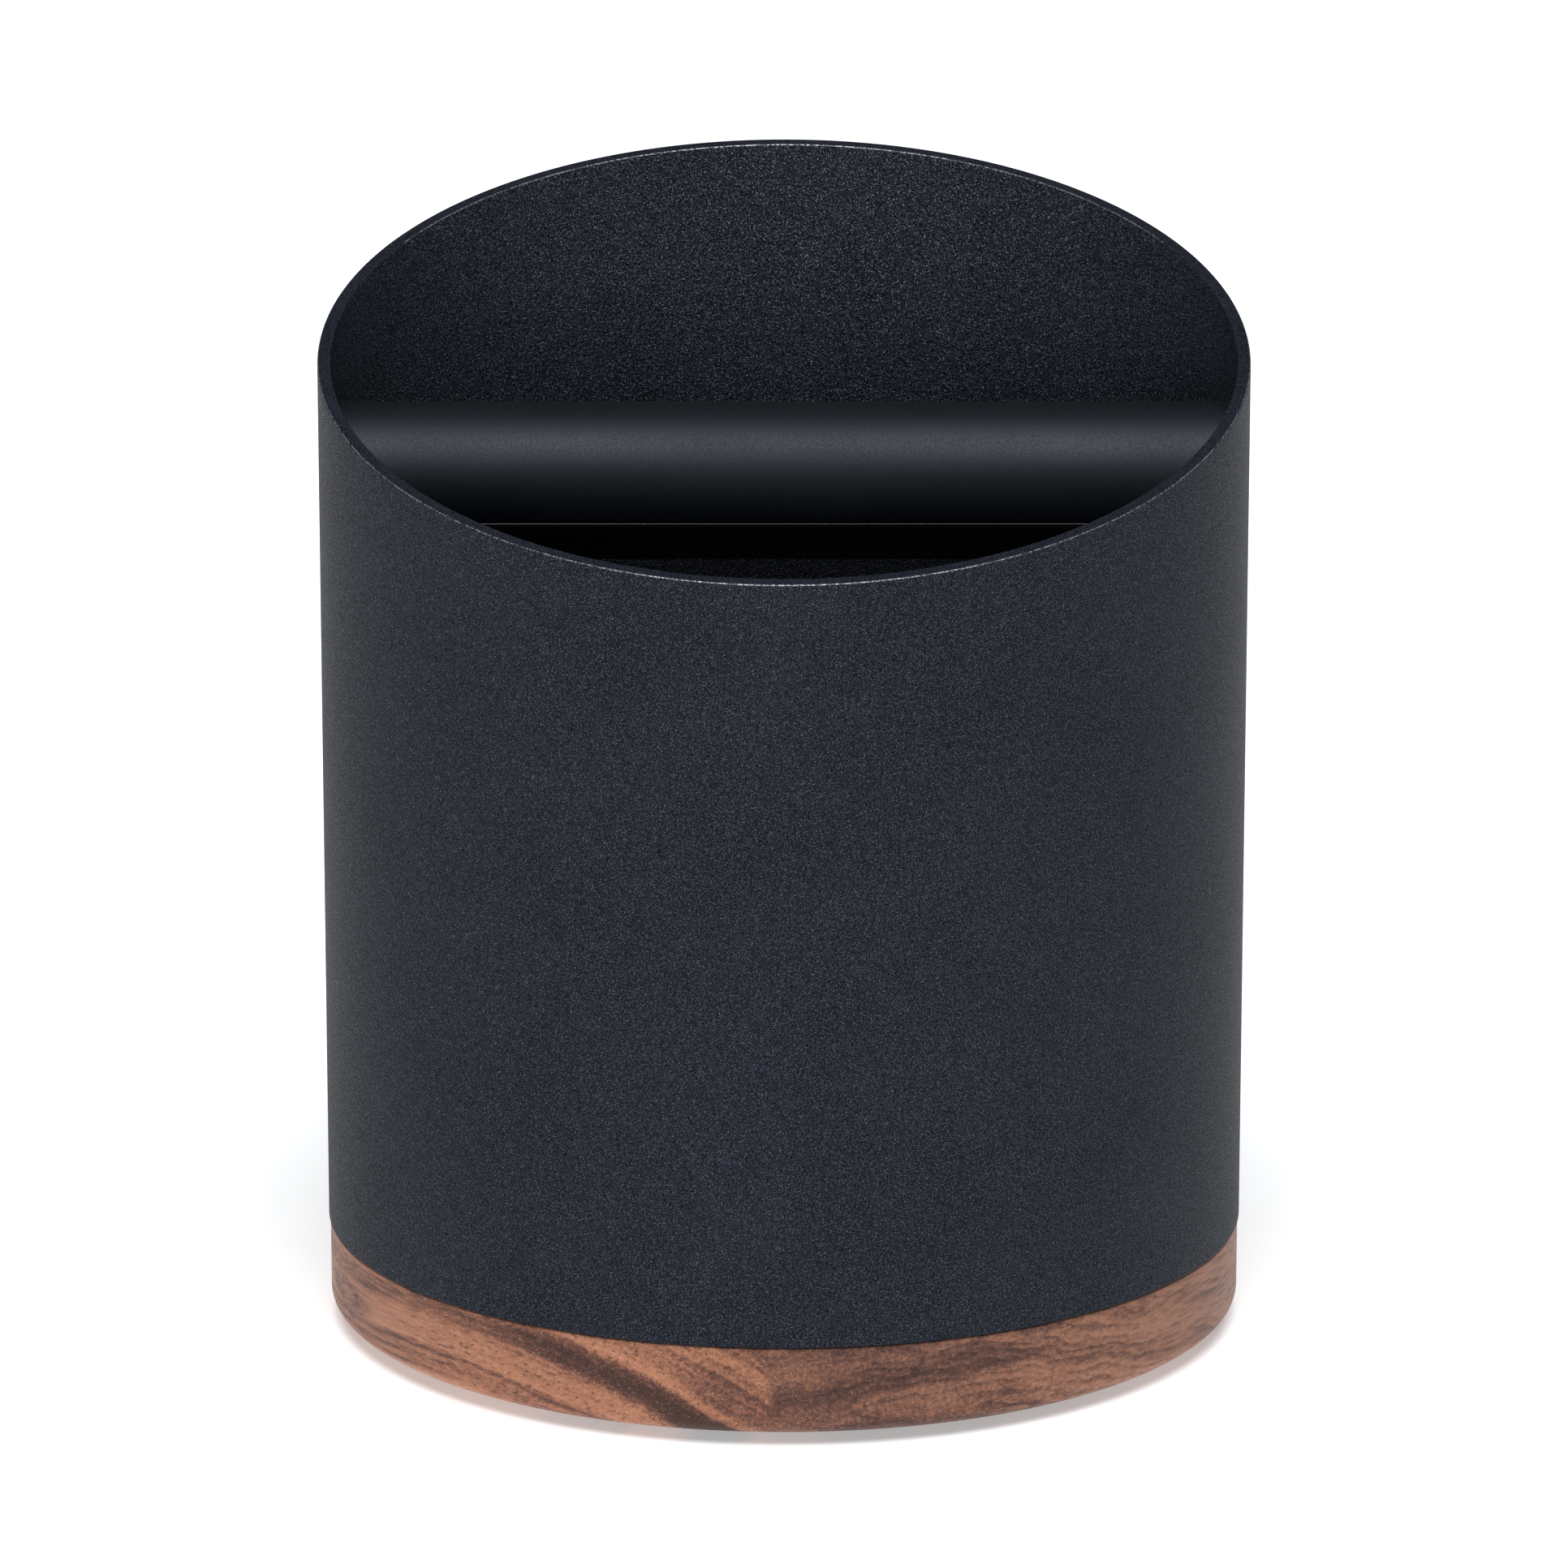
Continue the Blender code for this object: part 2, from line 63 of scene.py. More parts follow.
# The design's driving sizes that no box gives.
TUBE_WALL = 2.0 * MM
RIM_TILT = math.radians(15.6)
RIM_MID_HEIGHT = 149.7 * MM
TUBE_EDGE_ROUND = 0.35 * MM
BASE_ROUND_WIDTH = 10.6 * MM
BASE_ROUND_HEIGHT = 3.7 * MM
BASE_ROUND_POWER = 2.5
RING_WIDTH = 6.0 * MM
GROOVE_GAP = 0.3 * MM
SCREW_RADIUS = 2.0 * MM
BORE_RADIUS = 2.3 * MM
POCKET_RADIUS = 5.3 * MM
POCKET_FLOOR = 12.9 * MM
COUNTERBORE_RADIUS = 5.2 * MM
COUNTERBORE_TOP = 6.8 * MM
BAR_HEIGHT = 129.9 * MM
BAR_KEEL_RADIUS = 11.95 * MM
BAR_SLEEVE_RADIUS = 11.8 * MM
BAR_CORE_RADIUS = 9.0 * MM
BAR_SEAM_ANGLE = math.radians(21.0)
BAR_END_RADIUS = 67.4 * MM
SLEEVE_GAP = 0.3 * MM
HANGER_THICKNESS = 3.0 * MM
HANGER_BEND_INNER = 1.0 * MM
SLOT_INNER_END = 55.5 * MM
SLOT_HALF_WIDTH = 6.1 * MM
SLOT_ROOF = 3.1 * MM
END_SCREW_DROP = 1.5 * MM
END_SCREW_HEAD_RADIUS = 3.75 * MM
END_SCREW_HEAD_HEIGHT = 2.0 * MM
THREAD_PITCH = 0.7 * MM
SOCKET_RADIUS = 1.45 * MM

# Vertices closer than this are one.
WELD = 0.0005 * MM

TUBE_INNER = TUBE_HIGH.x - TUBE_WALL

# Segments of a turned shape: the large rounds, and screws and holes.
FINE = 384
SMALL = 48


# ------------------------------------------------------------ shader helpers

def material_start(name, colour, roughness, metallic=0.0, specular=0.5):
    """A material with a Principled shader; returns the material, its tree and its shader."""
    material = bpy.data.materials.new(name)
    material.use_nodes = True
    tree = material.node_tree
    shader = tree.nodes["Principled BSDF"]
    shader.inputs["Base Color"].default_value = (*colour, 1.0)
    shader.inputs["Roughness"].default_value = roughness
    shader.inputs["Metallic"].default_value = metallic
    shader.inputs["Specular IOR Level"].default_value = specular
    return material, tree, shader


def plug(tree, socket, value):
    """Give a socket a number, a colour or another node's output."""
    if isinstance(value, bpy.types.NodeSocket):
        tree.links.new(value, socket)
    elif isinstance(value, tuple) and len(value) == 3 and socket.type == "RGBA":
        socket.default_value = (*value, 1.0)
    else:
        socket.default_value = value


def mapped(tree, kind, scale, turn, shift):
    """The piece's own coordinates in metres through a Mapping node."""
    coords = tree.nodes.new("ShaderNodeTexCoord")
    mapping = tree.nodes.new("ShaderNodeMapping")
    mapping.vector_type = kind
    mapping.inputs["Scale"].default_value = scale
    mapping.inputs["Rotation"].default_value = turn
    mapping.inputs["Location"].default_value = shift
    tree.links.new(coords.outputs["Object"], mapping.inputs["Vector"])
    return mapping.outputs["Vector"]


def place(tree, stretch=(1.0, 1.0, 1.0), shift=(0.0, 0.0, 0.0)):
    """Coordinates along the piece's axes; below 1, a stretch draws a pattern out."""
    return mapped(tree, "POINT", stretch, (0.0, 0.0, 0.0), shift)


def askew(tree, shift=(0.0, 0.0, 0.0)):
    """Coordinates turned off the axes, so that fine grain shows no rows on a flat or round face."""
    return mapped(tree, "POINT", (1.0, 1.0, 1.0), (0.61, 0.43, 0.87), shift)


def along_fibre(tree, lean, shift):
    """Coordinates drawn out 20 times along fibres that lean from front-to-back by an angle in plan."""
    return mapped(tree, "TEXTURE", (1.0, 20.0, 1.0), (0.0, 0.0, lean), shift)


def axes_of(tree, vector):
    """The X, Y and Z of coordinates."""
    node = tree.nodes.new("ShaderNodeSeparateXYZ")
    tree.links.new(vector, node.inputs["Vector"])
    return node.outputs


def noise(tree, vector, scale, detail=2.0, roughness=0.5):
    """Noise from 0 to 1; scale is in features per metre."""
    node = tree.nodes.new("ShaderNodeTexNoise")
    node.inputs["Scale"].default_value = scale
    node.inputs["Detail"].default_value = detail
    node.inputs["Roughness"].default_value = roughness
    tree.links.new(vector, node.inputs["Vector"])
    return node.outputs["Fac"]


def line_noise(tree, along, scale, detail, roughness):
    """Noise that depends on one number only, such as the distance across growth rings."""
    node = tree.nodes.new("ShaderNodeTexNoise")
    node.noise_dimensions = "1D"
    node.inputs["Scale"].default_value = scale
    node.inputs["Detail"].default_value = detail
    node.inputs["Roughness"].default_value = roughness
    tree.links.new(along, node.inputs["W"])
    return node.outputs["Fac"]


def arithmetic(tree, operation, *values):
    """One arithmetic step."""
    node = tree.nodes.new("ShaderNodeMath")
    node.operation = operation
    for socket, value in zip(node.inputs, values):
        plug(tree, socket, value)
    return node.outputs["Value"]


def plus(tree, first, second):
    """The sum of two values."""
    return arithmetic(tree, "ADD", first, second)


def minus(tree, first, second):
    """The first value less the second."""
    return arithmetic(tree, "SUBTRACT", first, second)


def times(tree, first, second):
    """The product of two values."""
    return arithmetic(tree, "MULTIPLY", first, second)


def apart(tree, first, second):
    """How far two values are from each other."""
    return arithmetic(tree, "ABSOLUTE", minus(tree, first, second))


def swing(tree, value, reach):
    """Noise from 0 to 1 as a swing to either side of zero; reach is from end to end."""
    return times(tree, minus(tree, value, 0.5), reach)


def either(tree, share, first, second):
    """The first value where the share is 0, the second where it is 1."""
    return plus(tree, times(tree, first, minus(tree, 1.0, share)), times(tree, second, share))


def spread(tree, value, low, high, to_low=0.0, to_high=1.0):
    """Map a value from one range to another, with soft ends."""
    node = tree.nodes.new("ShaderNodeMapRange")
    node.interpolation_type = "SMOOTHSTEP"
    plug(tree, node.inputs["Value"], value)
    for name, number in (("From Min", low), ("From Max", high),
                         ("To Min", to_low), ("To Max", to_high)):
        node.inputs[name].default_value = number
    return node.outputs["Result"]


def blend(tree, share, first, second, kind="MIX"):
    """Mix two colours by a share."""
    node = tree.nodes.new("ShaderNodeMix")
    node.data_type = "RGBA"
    node.blend_type = kind
    plug(tree, node.inputs[0], share)
    plug(tree, node.inputs[6], first)
    plug(tree, node.inputs[7], second)
    return node.outputs[2]


def ramp(tree, value, *stops):
    """Colour by value; each stop is (position, colour)."""
    node = tree.nodes.new("ShaderNodeValToRGB")
    elements = node.color_ramp.elements
    while len(elements) < len(stops):
        elements.new(0.5)
    for element, (position, colour) in zip(elements, stops):
        element.position = position
        element.color = (*colour, 1.0)
    tree.links.new(value, node.inputs["Fac"])
    return node.outputs["Color"]


def bump(tree, height, distance, onto=None):
    """Fine relief; distance is the height in metres of a full step."""
    node = tree.nodes.new("ShaderNodeBump")
    node.inputs["Distance"].default_value = distance
    node.inputs["Strength"].default_value = 1.0
    tree.links.new(height, node.inputs["Height"])
    if onto is not None:
        tree.links.new(onto, node.inputs["Normal"])
    return node.outputs["Normal"]


def scaled(colour, gain):
    """A colour made lighter or darker."""
    return tuple(channel * gain for channel in colour)


def finish_shader(tree, shader, colour, roughness=None, normal=None, metallic=None):
    """Connect what the node graph has worked out to the shader."""
    for name, value in (("Base Color", colour), ("Roughness", roughness), ("Normal", normal),
                        ("Metallic", metallic)):
        if value is not None:
            tree.links.new(value, shader.inputs[name])


# ------------------------------------------------------------------ materials

# The powder coat at a gain of 1: its troughs, its grains and its painted glints.
COAT_DARK = (0.0024, 0.0031, 0.0055)
COAT_LIGHT = (0.0148, 0.0177, 0.0262)
COAT_PAINTED_GLINT = (0.100, 0.110, 0.130)
# Heights between which the painted shade on the coat inside the box goes from its darkest to none.
SHADE_LOW = 98.0 * MM
SHADE_HIGH = 154.0 * MM
DEEPEST_SHADE = 0.14

# The two walnut boards: where they meet, and how far their fibres lean from front-to-back.
GLUE_LINE = -2.4 * MM
LEFT_LEAN = math.radians(30)
RIGHT_LEAN = math.radians(-25)


def powder_coat(name, gain, relief_height=0.20 * MM, glints=1.0, grains=4000.0, painted_depth_shade=False):
    """Fine-textured matt powder coat: sand-like grain, soft orange peel and tiny glints painted in its
    colour.

    Gain scales its colours, and grains is the number of grains per metre. Its painted-shade switch
    darkens the colour towards the bottom of the box: painted shade where the rim keeps the light out.
    """
    light = scaled(COAT_LIGHT, gain)
    material, tree, shader = material_start(name, light, 0.5, specular=0.08)
    shader.inputs["Specular Tint"].default_value = (0.86, 0.92, 1.0, 1.0)
    where = askew(tree)
    grain = noise(tree, where, grains, 2.0, 0.65)
    orange_peel = noise(tree, askew(tree, (0.3, 0.1, 0.7)), 0.42 * grains, 1.0)
    cloud = noise(tree, where, 45.0)
    glint = noise(tree, askew(tree, (0.013, 0.007, 0.021)), 1.4 * grains, 1.0)
    glint = spread(tree, glint, 0.58, 0.70)
    tone = plus(tree, times(tree, grain, 0.90), times(tree, cloud, 0.10))
    colour = blend(tree, spread(tree, tone, 0.38, 0.62), scaled(COAT_DARK, gain), light)
    # Painted glints: bright specks in the colour where grains would catch the overhead light.
    colour = blend(tree, times(tree, glint, 0.8 * glints), colour, scaled(COAT_PAINTED_GLINT, gain))
    # Painted shade: the colour darkens towards the bottom of the box, where the rim keeps the overhead
    # light out.
    if painted_depth_shade:
        height = axes_of(tree, place(tree))["Z"]
        share = spread(tree, height, SHADE_LOW, SHADE_HIGH, DEEPEST_SHADE, 1.0)
        colour = blend(tree, share, (0.0, 0.0, 0.0), colour)
    rough = minus(tree, spread(tree, grain, 0.3, 0.7, 0.62, 0.46), times(tree, glint, 0.16))
    relief = bump(tree, orange_peel, 0.5 * relief_height)
    relief = bump(tree, grain, relief_height, relief)
    finish_shader(tree, shader, colour, rough, relief)
    return material


def coat_edge(name):
    """The same coat where it thins over the rim's edges: smoother, with broken bright specks that are
    partly worn metal and partly a painted highlight.
    """
    material, tree, shader = material_start(name, (0.03, 0.032, 0.038), 0.4, specular=0.35)
    where = askew(tree)
    grain = noise(tree, where, 2500.0, 2.0, 0.6)
    # The bright specks stand for worn metal and also paint the highlight along the edge.
    wear_and_highlight = spread(tree, noise(tree, where, 2600.0, 2.0, 0.7), 0.44, 0.60)
    colour = blend(tree, wear_and_highlight, (0.014, 0.016, 0.020), (0.25, 0.26, 0.29))
    rough = spread(tree, grain, 0.3, 0.7, 0.5, 0.3)
    relief = bump(tree, grain, 0.04 * MM)
    finish_shader(tree, shader, colour, rough, relief, times(tree, wear_and_highlight, 0.5))
    return material


def distance_from(tree, across, up, centre_across, centre_up):
    """Distance in a plane from a point, such as a board's pith."""
    a = minus(tree, across, centre_across)
    b = minus(tree, up, centre_up)
    return arithmetic(tree, "SQRT", plus(tree, times(tree, a, a), times(tree, b, b)))


def board_tone(tree, rings, seed, lean, period, wobble, line_depth, band_depth):
    """Light and dark of one board from its ring distance: broad bands, soft ring lines, fibre."""
    axis = plus(tree, rings, seed)
    broad = line_noise(tree, axis, 170.0, 3.0, 0.55)
    uneven = line_noise(tree, axis, 300.0, 1.0, 0.5)
    count = plus(tree, arithmetic(tree, "DIVIDE", axis, period), times(tree, uneven, wobble))
    phase = arithmetic(tree, "FRACT", count)
    line = times(tree, spread(tree, phase, 0.15, 0.88), spread(tree, phase, 1.0, 0.88))
    faint = noise(tree, place(tree, (1.0, 0.25, 1.0), (seed, 0.0, 0.0)), 90.0, 1.0)
    line = times(tree, line, spread(tree, faint, 0.35, 0.65, 0.2, 1.0))
    fibre = noise(tree, along_fibre(tree, lean, (seed, 0.0, 0.2)), 1900.0, 3.0, 0.7)
    middle = 0.53
    tone = spread(tree, broad, 0.28, 0.72, middle - band_depth / 2, middle + band_depth / 2)
    tone = minus(tree, tone, times(tree, line, line_depth))
    return plus(tree, tone, swing(tree, fibre, 0.85))


def left_board(tree, across, along, up, warp, ripple):
    """Rings round a pith line below the board, a dark heart streak, a fine streak and a knot."""
    heart = 89.8 * MM
    rings = plus(tree, distance_from(tree, across, up, -55.0 * MM, -75.0 * MM), warp)
    tone = board_tone(tree, rings, seed=0.31, lean=LEFT_LEAN, period=1.9 * MM, wobble=0.9,
                      line_depth=0.14, band_depth=0.32)
    tone = plus(tree, tone, spread(tree, rings, 90.0 * MM, 94.0 * MM, 0.07, -0.04))
    past_heart = minus(tree, rings, heart)
    streak = times(tree, spread(tree, past_heart, -5.0 * MM, -0.4 * MM),
                   spread(tree, past_heart, 2.7 * MM, 0.7 * MM))
    streak = times(tree, streak, spread(tree, across, -60.0 * MM, -18.0 * MM, 0.18, 1.0))
    tone = minus(tree, tone, times(tree, streak, 0.55))
    tone = minus(tree, tone, spread(tree, across, -19.0 * MM, -8.0 * MM, 0.0, 0.15))
    fine_streak = spread(tree, apart(tree, rings, 81.6 * MM), 0.7 * MM, 0.0)
    tone = minus(tree, tone, times(tree, fine_streak, 0.20))
    knot = distance_from(tree, times(tree, along, 0.22), up, -4.8 * MM, 8.4 * MM)
    knot = plus(tree, knot, times(tree, ripple, 1.6 * MM))
    knot = minus(tree, spread(tree, knot, 3.6 * MM, 2.2 * MM, 0.0, 0.26),
                 spread(tree, knot, 1.9 * MM, 1.0 * MM, 0.0, 0.14))
    knot = times(tree, knot, spread(tree, across, -54.0 * MM, -62.0 * MM))
    return minus(tree, tone, knot)


def right_board(tree, across, up, warp, ripple):
    """Flatter rings that crest to the right of the glue line, with a cloudy figure beside it."""
    rings = plus(tree, distance_from(tree, across, up, 28.0 * MM, -66.0 * MM), warp)
    rings = plus(tree, rings, swing(tree, ripple, 3.6 * MM))
    tone = board_tone(tree, rings, seed=0.87, lean=RIGHT_LEAN, period=1.6 * MM, wobble=0.8,
                      line_depth=0.19, band_depth=0.15)
    cloud = noise(tree, place(tree, (0.7, 0.2, 2.3), (0.12, 0.0, 0.4)), 85.0)
    figured = spread(tree, apart(tree, across, 20.0 * MM), 27.0 * MM, 12.0 * MM)
    smudge = times(tree, spread(tree, cloud, 0.52, 0.68), 0.06)
    curl = times(tree, spread(tree, apart(tree, cloud, 0.52), 0.055, 0.0), 0.15)
    tone = minus(tree, tone, times(tree, plus(tree, smudge, curl), figured))
    tone = plus(tree, tone, spread(tree, across, 6.0 * MM, 60.0 * MM, -0.23, 0.01))
    pale_corner = times(tree, spread(tree, across, 9.0 * MM, -2.0 * MM),
                        spread(tree, up, 8.0 * MM, 13.5 * MM, 0.0, 0.16))
    return plus(tree, tone, pale_corner)


def walnut(name):
    """Two boards glued edge to edge, grain running front to back, sanded and oiled."""
    material, tree, shader = material_start(name, (0.25, 0.12, 0.07), 0.55, specular=0.22)
    shader.inputs["Sheen Weight"].default_value = 0.08
    shader.inputs["Sheen Roughness"].default_value = 0.45
    across, along, up = axes_of(tree, place(tree))
    slow = noise(tree, place(tree, (1.0, 0.22, 1.0)), 30.0)
    ripple = noise(tree, place(tree, (1.0, 0.15, 1.6), (0.3, 0.1, 0.2)), 130.0, 2.0, 0.55)
    warp = plus(tree, swing(tree, slow, 6.0 * MM), swing(tree, ripple, 0.8 * MM))
    left = left_board(tree, across, along, up, warp, ripple)
    right = right_board(tree, across, up, warp, ripple)
    # The change of board wanders a little: 0 on the left board, 1 on the right one.
    board = spread(tree, plus(tree, across, swing(tree, ripple, 3.0 * MM)), -3.3 * MM, -1.3 * MM)
    tone = either(tree, board, left, right)
    colour = ramp(tree, tone, (0.0, (0.050, 0.022, 0.017)), (0.25, (0.135, 0.056, 0.039)),
                  (0.50, (0.325, 0.134, 0.075)), (0.72, (0.450, 0.198, 0.115)),
                  (0.95, (0.590, 0.295, 0.190)))
    duller = blend(tree, board, (1.0, 1.0, 1.0), (0.80, 0.86, 0.93))
    colour = blend(tree, 1.0, colour, duller, "MULTIPLY")
    pores = either(tree, board, *(
        noise(tree, along_fibre(tree, lean, (0.05, 0.0, 0.02)), 1700.0, 2.0, 0.6)
        for lean in (LEFT_LEAN, RIGHT_LEAN)))
    pore = times(tree, spread(tree, pores, 0.57, 0.68), spread(tree, board, 0.0, 1.0, 0.62, 0.38))
    colour = blend(tree, pore, colour, (0.050, 0.023, 0.017))
    # Painted glints: bright specks in the colour, fewer on dark wood and on the right board.
    spark = spread(tree, noise(tree, askew(tree, (0.4, 0.2, 0.1)), 4400.0, 1.0), 0.58, 0.72)
    spark = times(tree, spark, spread(tree, tone, 0.0, 0.6, 0.18, 0.50))
    spark = times(tree, spark, spread(tree, board, 0.0, 1.0, 1.0, 0.6))
    colour = blend(tree, spark, colour, (0.64, 0.40, 0.28))
    seam = spread(tree, apart(tree, across, GLUE_LINE), 0.14 * MM, 0.02 * MM, 0.0, 0.14)
    colour = blend(tree, seam, colour, (0.035, 0.018, 0.012))
    relief = bump(tree, minus(tree, 1.0, pore), 0.03 * MM)
    relief = bump(tree, pores, 0.02 * MM, relief)
    finish_shader(tree, shader, colour, spread(tree, tone, 0.2, 0.8, 0.62, 0.50), relief)
    return material


def silicone(name, colour, roughness, grain_height):
    """Moulded silicone: satin, with a soft fine grain and a faint dusty bloom."""
    material, tree, shader = material_start(name, colour, roughness, specular=0.36)
    shader.inputs["Specular Tint"].default_value = (0.77, 0.86, 1.0, 1.0)
    where = askew(tree)
    grain = noise(tree, where, 3200.0, 1.0)
    cloud = noise(tree, where, 60.0)
    tinted = blend(tree, times(tree, cloud, grain), colour, scaled(colour, 1.5))
    rough = plus(tree, times(tree, cloud, 0.08),
                 spread(tree, grain, 0.3, 0.7, roughness - 0.06, roughness + 0.02))
    finish_shader(tree, shader, tinted, rough, bump(tree, grain, grain_height))
    return material


def anodised(name):
    """Black anodised extrusion with faint die lines along the bar."""
    material, tree, shader = material_start(name, (0.006, 0.006, 0.008), 0.34)
    lines = noise(tree, place(tree, (0.02, 1.0, 1.0)), 2400.0, 2.0, 0.6)
    grain = noise(tree, askew(tree), 3000.0, 1.0)
    colour = blend(tree, lines, (0.005, 0.005, 0.006), (0.012, 0.012, 0.014))
    finish_shader(tree, shader, colour, spread(tree, grain, 0.3, 0.7, 0.30, 0.40),
                  bump(tree, lines, 0.006 * MM))
    return material


def nylon(name):
    """Moulded black nylon with a spark-eroded texture."""
    material, tree, shader = material_start(name, (0.014, 0.014, 0.016), 0.5, specular=0.45)
    grain = noise(tree, askew(tree), 2200.0, 3.0, 0.7)
    colour = blend(tree, grain, (0.010, 0.010, 0.012), (0.022, 0.022, 0.025))
    finish_shader(tree, shader, colour, spread(tree, grain, 0.3, 0.7, 0.58, 0.44),
                  bump(tree, grain, 0.03 * MM))
    return material


def turned_steel(name):
    """Stainless steel with fine turning marks round the piece's own axis."""
    material, tree, shader = material_start(name, (0.58, 0.575, 0.56), 0.28, metallic=1.0)
    x, y, z = axes_of(tree, place(tree))
    radius = distance_from(tree, x, y, 0.0, 0.0)
    marks = line_noise(tree, plus(tree, radius, times(tree, z, 0.7)), 9000.0, 2.0, 0.7)
    smudge = noise(tree, place(tree), 240.0, 3.0, 0.6)
    colour = blend(tree, smudge, (0.50, 0.495, 0.48), (0.66, 0.655, 0.64))
    finish_shader(tree, shader, colour, spread(tree, smudge, 0.3, 0.7, 0.22, 0.38),
                  bump(tree, marks, 0.004 * MM))
    return material


def studio_white(name):
    """Matt off-white studio floor that glows a little, with a barely visible tooth."""
    material, tree, shader = material_start(name, (0.92, 0.93, 0.94), 0.75, specular=0.2)
    shader.inputs["Emission Color"].default_value = (0.98, 0.99, 1.0, 1.0)
    shader.inputs["Emission Strength"].default_value = 0.36
    tooth = noise(tree, place(tree), 400.0)
    colour = blend(tree, tooth, (0.91, 0.92, 0.93), (0.93, 0.94, 0.95))
    finish_shader(tree, shader, colour, normal=bump(tree, tooth, 0.01 * MM))
    return material


COAT = powder_coat("fine_powder_coat", 1.36, glints=0.85)
# A darker copy of the coat for the floor deep in the box: painted shade.
FLOOR_COAT_PAINTED_SHADE = powder_coat("powder_coat_on_floor_painted_shade", 0.45)
# A lighter copy of the coat for the inside of the box: painted light, with painted shade towards the
# bottom.
INSIDE_PAINTED_LIGHT_AND_SHADE = powder_coat("powder_coat_inside_painted_light_and_shade", 2.4, 0.36 * MM, 1.35, 3400.0, painted_depth_shade=True)
RIM = powder_coat("powder_coat_on_rim", 1.2, 0.06 * MM, 0.4)
EDGE_WEAR_AND_HIGHLIGHT = coat_edge("thin_coat_on_edge_painted_highlight")
WOOD = walnut("oiled_walnut")
SLEEVE = silicone("satin_bar_silicone", (0.0018, 0.0024, 0.0042), 0.52, 0.006 * MM)
RUBBER = silicone("matt_black_silicone", (0.012, 0.012, 0.013), 0.70, 0.03 * MM)
ANODISED = anodised("black_anodised")
NYLON = nylon("spark_textured_nylon")
STEEL = turned_steel("turned_stainless_steel")


# -------------------------------------------------------------- mesh helpers

def arc(centre, radius, start, end, steps):
    """Points on an arc in a plane, both ends included."""
    angles = [start + (end - start) * i / steps for i in range(steps + 1)]
    return [(centre[0] + radius * math.cos(a), centre[1] + radius * math.sin(a)) for a in angles]


def turned(profile, segments, capped=False):
    """Spin (radius, height) points about Z; a capped profile is open and gets flat end discs."""
    bm = bmesh.new()
    verts = [bm.verts.new((radius, 0.0, height)) for radius, height in profile]
    edges = [bm.edges.new(pair) for pair in zip(verts, verts[1:])]
    if not capped:
        edges.append(bm.edges.new((verts[-1], verts[0])))
    bmesh.ops.spin(bm, geom=verts + edges, cent=(0, 0, 0), axis=(0, 0, 1),
                   angle=2 * math.pi, steps=segments)
    bmesh.ops.remove_doubles(bm, verts=bm.verts, dist=WELD)
    if capped:
        bmesh.ops.holes_fill(bm, edges=bm.edges, sides=0)
    bmesh.ops.recalc_face_normals(bm, faces=bm.faces)
    return bm


def along_x(across, up, depth):
    """Place an outline in the YZ plane, to be extruded along X."""
    return (depth, across, up)


def along_y(across, up, depth):
    """Place an outline in the XZ plane, to be extruded along Y."""
    return (across, depth, up)


def extruded(outline, low, high, place_point):
    """Extrude a closed outline from low to high."""
    bm = bmesh.new()
    face = bm.faces.new([bm.verts.new(place_point(a, b, low)) for a, b in outline])
    grown = bmesh.ops.extrude_face_region(bm, geom=[face])["geom"]
    moved = [item for item in grown if isinstance(item, bmesh.types.BMVert)]
    bmesh.ops.translate(bm, verts=moved, vec=place_point(0.0, 0.0, high - low))
    bmesh.ops.recalc_face_normals(bm, faces=bm.faces)
    return bm


def box(low, high):
    """A closed box between two corners."""
    outline = [(low[1], low[2]), (high[1], low[2]), (high[1], high[2]), (low[1], high[2])]
    return extruded(outline, low[0], high[0], along_x)


def to_mesh(name, bm, materials):
    """Mesh data with its material slots, shaded smooth."""
    mesh = bpy.data.meshes.new(name)
    bm.to_mesh(mesh)
    bm.free()
    for material in materials:
        mesh.materials.append(material)
    mesh.shade_smooth()
    return mesh


def add_object(name, mesh, location=(0, 0, 0), rotation=(0, 0, 0)):
    """Put mesh data in the scene."""
    obj = bpy.data.objects.new(name, mesh)
    obj.location = location
    obj.rotation_euler = rotation
    bpy.context.scene.collection.objects.link(obj)
    return obj


def round_edges(obj, width, segments=4, material=-1):
    """Round the sharp edges, keeping flat faces flat."""
    modifier = obj.modifiers.new("edge_round", "BEVEL")
    modifier.width = width
    modifier.segments = segments
    modifier.limit_method = "ANGLE"
    modifier.angle_limit = math.radians(32)
    modifier.harden_normals = True
    modifier.material = material


def combine(obj, operation, bm, location=(0, 0, 0), rotation=(0, 0, 0)):
    """Cut (DIFFERENCE) or trim (INTERSECT) an object with a shape, and keep only the result."""
    tool = add_object("tool", to_mesh("tool", bm, []), location, rotation)
    modifier = obj.modifiers.new("cut", "BOOLEAN")
    modifier.operation = operation
    modifier.solver = "EXACT"
    modifier.object = tool
    bake_modifiers(obj)
    bpy.data.objects.remove(tool, do_unlink=True)


def bake_modifiers(obj):
    """Turn an object's evaluated shape into its own mesh."""
    graph = bpy.context.evaluated_depsgraph_get()
    graph.update()
    mesh = bpy.data.meshes.new_from_object(obj.evaluated_get(graph))
    obj.modifiers.clear()
    obj.data = mesh


def smooth_faces(obj, degrees=32):
    """Smooth shading that breaks at sharp edges."""
    obj.data.shade_smooth()
    obj.data.set_sharp_from_angle(angle=math.radians(degrees))


def part_of(obj, body, slot, *nodes):
    """The piece rides on a body and stands for these CAD nodes; the slot argument is not used."""
    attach(obj, body)
    if nodes:
        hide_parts(*nodes)


def dress_node(node, material):
    """Give a CAD node that stays a better material."""
    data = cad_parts[node].data
    data.materials.clear()
    data.materials.append(material)


# ------------------------------------------------------------------- the tube

